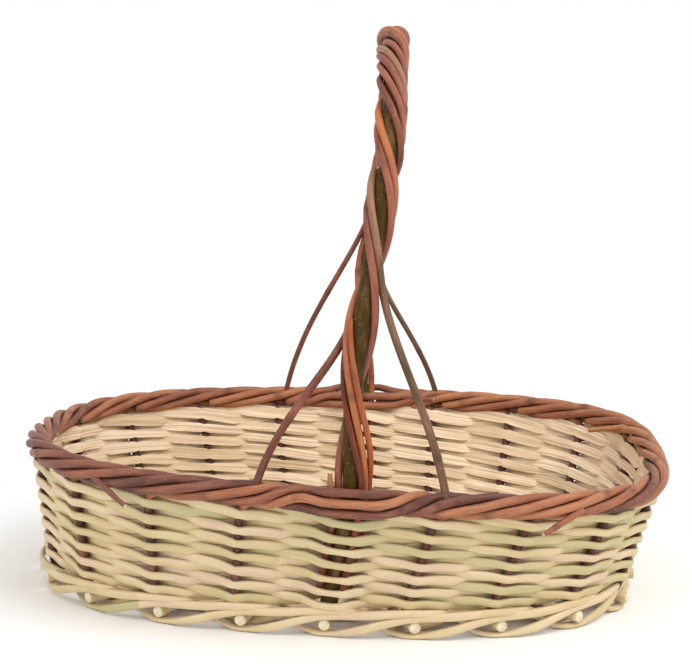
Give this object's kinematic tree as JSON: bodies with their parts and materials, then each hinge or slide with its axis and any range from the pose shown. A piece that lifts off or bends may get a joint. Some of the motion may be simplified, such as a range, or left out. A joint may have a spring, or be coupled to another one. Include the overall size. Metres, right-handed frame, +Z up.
{
  "type": "presentation basket",
  "caption": "Oval woven cane basket with willow stakes, a low flared wall, a rolled rope border and a tall arched handle, wrapped and braced to the border.",
  "frame": {"origin": "on the table, under the middle of the basket's outer box", "axes": "+X along the basket's length, +Y across it, from the near leg of the handle to the far one, +Z up"},
  "size_m": [0.3995, 0.3072, 0.349],
  "materials": {
    "cane": "pale split cane, satin skin",
    "willow": "brown willow bark, satin",
    "stick": "peeled stick, matt",
    "core": "olive bark, satin",
    "wrapping": "red-brown bark, satin"
  },
  "bodies": {
    "root": {"side_weaver_1a": "cane", "side_weaver_1b": "cane", "side_weaver_2a": "cane", "side_weaver_2b": "cane", "side_weaver_3a": "cane", "side_weaver_3b": "cane", "side_weaver_4a": "cane", "side_weaver_4b": "cane", "side_weaver_5a": "cane", "side_weaver_5b": "cane", "side_weaver_6a": "cane", "side_weaver_6b": "cane", "side_weaver_7a": "cane", "side_weaver_7b": "cane", "foot_weaver_a": "cane", "foot_weaver_b": "cane", "base_weaver_1": "cane", "base_weaver_2": "cane", "base_weaver_3": "cane", "base_weaver_4": "cane", "base_weaver_5": "cane", "base_weaver_6": "cane", "stake_01": "willow", "stake_02": "willow", "stake_03": "willow", "stake_04": "willow", "stake_05": "willow", "stake_06": "willow", "stake_07": "willow", "stake_08": "willow", "stake_09": "willow", "stake_11": "willow", "stake_12": "willow", "stake_13": "willow", "stake_14": "willow", "stake_15": "willow", "stake_16": "willow", "stake_17": "willow", "stake_18": "willow", "stake_19": "willow", "cross_stick_1": "stick", "cross_stick_2": "stick", "cross_stick_3": "stick", "cross_stick_4": "stick", "cross_stick_5": "stick", "cross_stick_6": "stick", "cross_stick_7": "stick", "long_stick_1": "stick", "long_stick_2": "stick", "long_stick_3": "stick", "handle_core": "core", "handle_wrap_left": "wrapping", "handle_wrap_right": "wrapping", "brace_rod_left": "wrapping", "brace_rod_right": "wrapping"}
  },
  "joints": []
}
